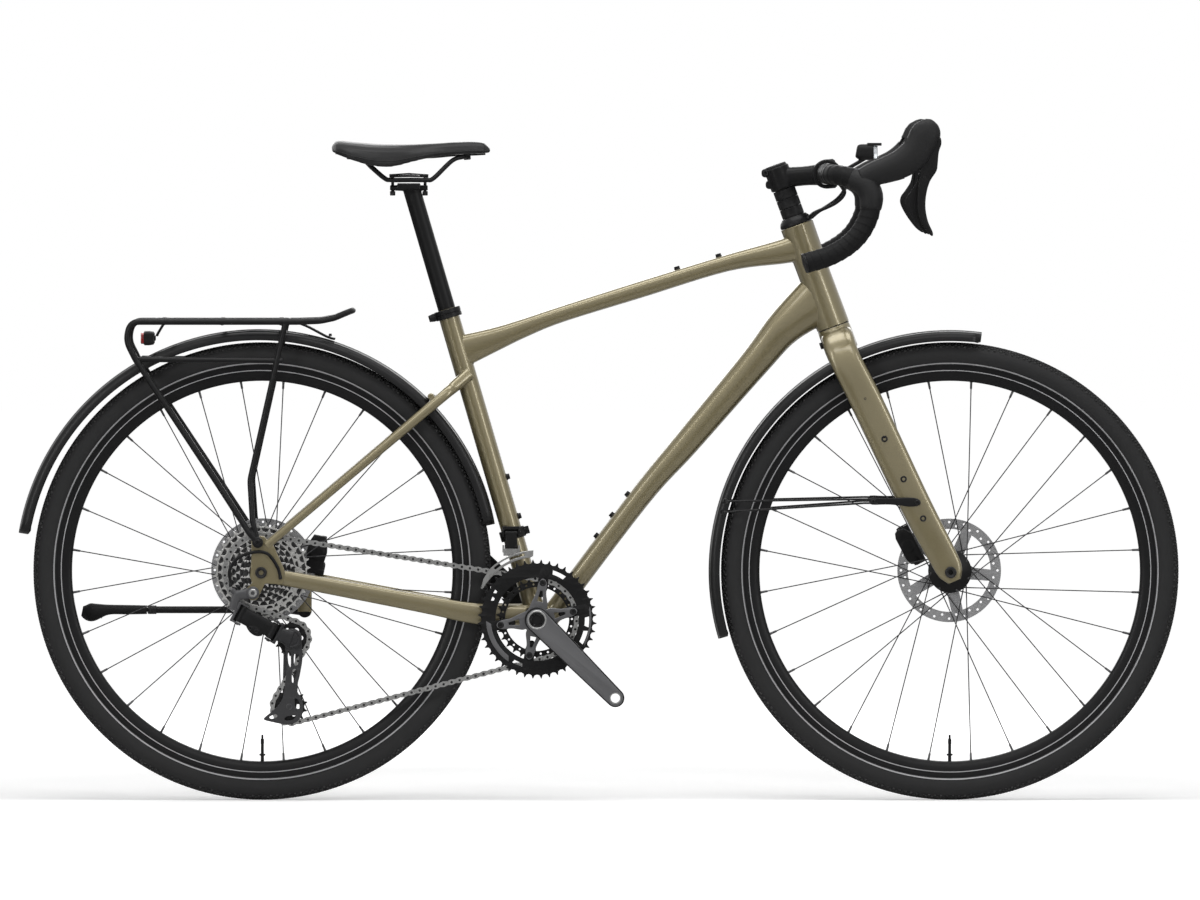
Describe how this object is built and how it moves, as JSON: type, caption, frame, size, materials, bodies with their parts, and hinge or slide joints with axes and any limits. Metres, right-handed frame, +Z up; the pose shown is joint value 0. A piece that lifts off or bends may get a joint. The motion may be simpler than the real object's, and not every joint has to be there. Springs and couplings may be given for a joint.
{
  "type": "touring bicycle",
  "caption": "Gravel touring bicycle with drop bar, disc brakes, derailleur gears, rear rack, mudguards, lights and a side stand.",
  "frame": {"origin": "on the ground, halfway along the bicycle and in its middle plane", "axes": "+X points forward, +Y to the rider's left, +Z up; the drive side is the right side"},
  "size_m": [1.7867, 0.4905, 1.033],
  "materials": {
    "paint": "olive gold metallic lacquer",
    "satin_black": "satin black anodised",
    "wheel_black": "satin black",
    "black_plastic": "matt",
    "guard_plastic": "satin",
    "hood_rubber": "fine grained",
    "tyre": "small block tread",
    "tape": "wound, dotted",
    "saddle_cover": "smooth synthetic",
    "grey_alloy": "dark satin",
    "steel": "bright",
    "cable_plastic": "smooth housing"
  },
  "bodies": {
    "main_frame": {"frame": "paint", "seat_collar": "satin_black", "rear_mudguard": "guard_plastic", "rack": "satin_black", "tail_light": "black_plastic", "rear_axle": "satin_black", "rear_caliper": "satin_black", "fd_clamp": "satin_black", "bottom_bracket": "satin_black", "rd_bracket": "satin_black", "rear_shift_cable": "cable_plastic", "chain": "steel"},
    "steering": {"fork": "paint", "headset_stack": "satin_black", "stem": "satin_black", "stem_faceplate": "satin_black", "handlebar": "satin_black", "bar_tape_left": "tape", "bar_tape_right": "tape", "lever_hood_left": "hood_rubber", "lever_hood_right": "hood_rubber", "headlight": "black_plastic", "front_mudguard": "guard_plastic", "front_caliper": "satin_black", "front_axle": "satin_black", "brake_hose_left": "cable_plastic", "brake_hose_right": "cable_plastic", "shift_cable_left": "cable_plastic", "shift_cable_right": "cable_plastic"},
    "front_wheel": {"front_hub_and_spokes": "wheel_black", "front_rim": "wheel_black", "front_tyre": "tyre", "front_rotor": "steel"},
    "rear_wheel": {"rear_hub_and_spokes": "wheel_black", "rear_rim": "wheel_black", "rear_tyre": "tyre", "rear_rotor": "steel"},
    "crankset": {"crank_right": "grey_alloy", "crank_left": "grey_alloy", "chainring_big": "satin_black", "chainring_small": "steel"},
    "sprockets": {"cassette": "steel"},
    "rear_link": {"rd_link": "satin_black"},
    "rear_knuckle": {"rd_knuckle": "satin_black"},
    "rear_cage": {"rd_cage": "satin_black"},
    "guide_wheel": {"guide_pulley": "black_plastic"},
    "tension_wheel": {"tension_pulley": "black_plastic"},
    "front_link": {"fd_link": "satin_black"},
    "front_cage": {"fd_cage": "steel"},
    "stand": {"kickstand_leg": "satin_black"},
    "stand_foot": {"kickstand_foot": "black_plastic"},
    "lever_left": {"brake_lever_left": "satin_black"},
    "lever_right": {"brake_lever_right": "satin_black"},
    "paddle_left": {"shift_paddle_left": "black_plastic"},
    "paddle_right": {"shift_paddle_right": "black_plastic"},
    "seat": {"seatpost": "satin_black", "saddle_base": "black_plastic", "saddle_cushion": "saddle_cover"}
  },
  "joints": [
    {"name": "steering_turn", "type": "hinge", "parent": "main_frame", "child": "steering", "pos_m": [0.35856, 0, 0.72926], "axis": [-0.3387, 0, 0.9409], "range_deg": [-60, 60]},
    {"name": "front_wheel_spin", "type": "hinge", "parent": "steering", "child": "front_wheel", "pos_m": [0.5381, 0, 0.3525], "axis": [0, 1, 0], "continuous": true},
    {"name": "rear_wheel_spin", "type": "hinge", "parent": "main_frame", "child": "rear_wheel", "pos_m": [-0.5208, 0, 0.3525], "axis": [0, 1, 0], "continuous": true},
    {"name": "crank_spin", "type": "hinge", "parent": "main_frame", "child": "crankset", "pos_m": [-0.0973, 0, 0.2801], "axis": [0, 1, 0], "continuous": true},
    {"name": "sprocket_spin", "type": "hinge", "parent": "main_frame", "child": "sprockets", "pos_m": [-0.5208, 0, 0.3525], "axis": [0, 1, 0], "continuous": true},
    {"name": "rear_shift", "type": "hinge", "parent": "main_frame", "child": "rear_link", "pos_m": [-0.5508, -0.08, 0.2885], "axis": [0.4695, 0, 0.8829], "range_deg": [-20, 7.7], "deforming": ["chain"]},
    {"name": "rear_knuckle_turn", "type": "hinge", "parent": "rear_link", "child": "rear_knuckle", "pos_m": [-0.5028, -0.08, 0.263], "axis": [0.4695, 0, 0.8829], "range_deg": [-7.7, 20], "deforming": ["chain"]},
    {"name": "cage_swing", "type": "hinge", "parent": "rear_knuckle", "child": "rear_cage", "pos_m": [-0.4738, -0.0429, 0.251], "axis": [0, 1, 0], "range_deg": [-22, 22], "stiffness_Nm_per_rad": 0.6, "deforming": ["chain"]},
    {"name": "guide_pulley_spin", "type": "hinge", "parent": "rear_cage", "child": "guide_wheel", "pos_m": [-0.4738, -0.0429, 0.251], "axis": [0, 1, 0], "continuous": true},
    {"name": "tension_pulley_spin", "type": "hinge", "parent": "rear_cage", "child": "tension_wheel", "pos_m": [-0.4783, -0.0429, 0.1455], "axis": [0, 1, 0], "continuous": true},
    {"name": "front_shift", "type": "hinge", "parent": "main_frame", "child": "front_link", "pos_m": [-0.13719, -0.027, 0.41167], "axis": [-1, 0, 0], "range_deg": [0, 18], "deforming": ["chain"]},
    {"name": "front_cage_turn", "type": "hinge", "parent": "front_link", "child": "front_cage", "pos_m": [-0.13719, -0.027, 0.38967], "axis": [-1, 0, 0], "range_deg": [-18, 0], "deforming": ["chain"]},
    {"name": "stand_swing", "type": "hinge", "parent": "main_frame", "child": "stand", "pos_m": [-0.4568, 0.072, 0.2905], "axis": [0, -0.9677, -0.2519], "range_deg": [0, 58]},
    {"name": "stand_foot_slide", "type": "slide", "parent": "stand", "child": "stand_foot", "axis": [-1, 0, 0], "range_m": [0, 0.05]},
    {"name": "brake_left", "type": "hinge", "parent": "steering", "child": "lever_left", "pos_m": [0.49165, 0.213, 0.9985], "axis": [0, 1, 0], "range_deg": [0, 18], "stiffness_Nm_per_rad": 1.2, "springref_deg": -5.73},
    {"name": "brake_right", "type": "hinge", "parent": "steering", "child": "lever_right", "pos_m": [0.49165, -0.213, 0.9985], "axis": [0, 1, 0], "range_deg": [0, 18], "stiffness_Nm_per_rad": 1.2, "springref_deg": -5.73},
    {"name": "shift_left", "type": "hinge", "parent": "lever_left", "child": "paddle_left", "pos_m": [0.48465, 0.2069, 0.962], "axis": [-1, 0, 0], "range_deg": [0, 12], "stiffness_Nm_per_rad": 0.3, "springref_deg": -5.73},
    {"name": "shift_right", "type": "hinge", "parent": "lever_right", "child": "paddle_right", "pos_m": [0.48465, -0.2069, 0.962], "axis": [1, 0, 0], "range_deg": [0, 12], "stiffness_Nm_per_rad": 0.3, "springref_deg": -5.73},
    {"name": "seat_height", "type": "slide", "parent": "main_frame", "child": "seat", "axis": [-0.2807, 0, 0.9598], "range_m": [-0.075, 0.03]}
  ],
  "couplings": [
    {"joint": "sprocket_spin", "follows": "crank_spin", "ratio": 1.0714},
    {"joint": "guide_pulley_spin", "follows": "crank_spin", "ratio": -2.3077},
    {"joint": "tension_pulley_spin", "follows": "crank_spin", "ratio": 2.3077},
    {"joint": "rear_knuckle_turn", "follows": "rear_shift", "ratio": -1},
    {"joint": "front_cage_turn", "follows": "front_shift", "ratio": -1}
  ]
}
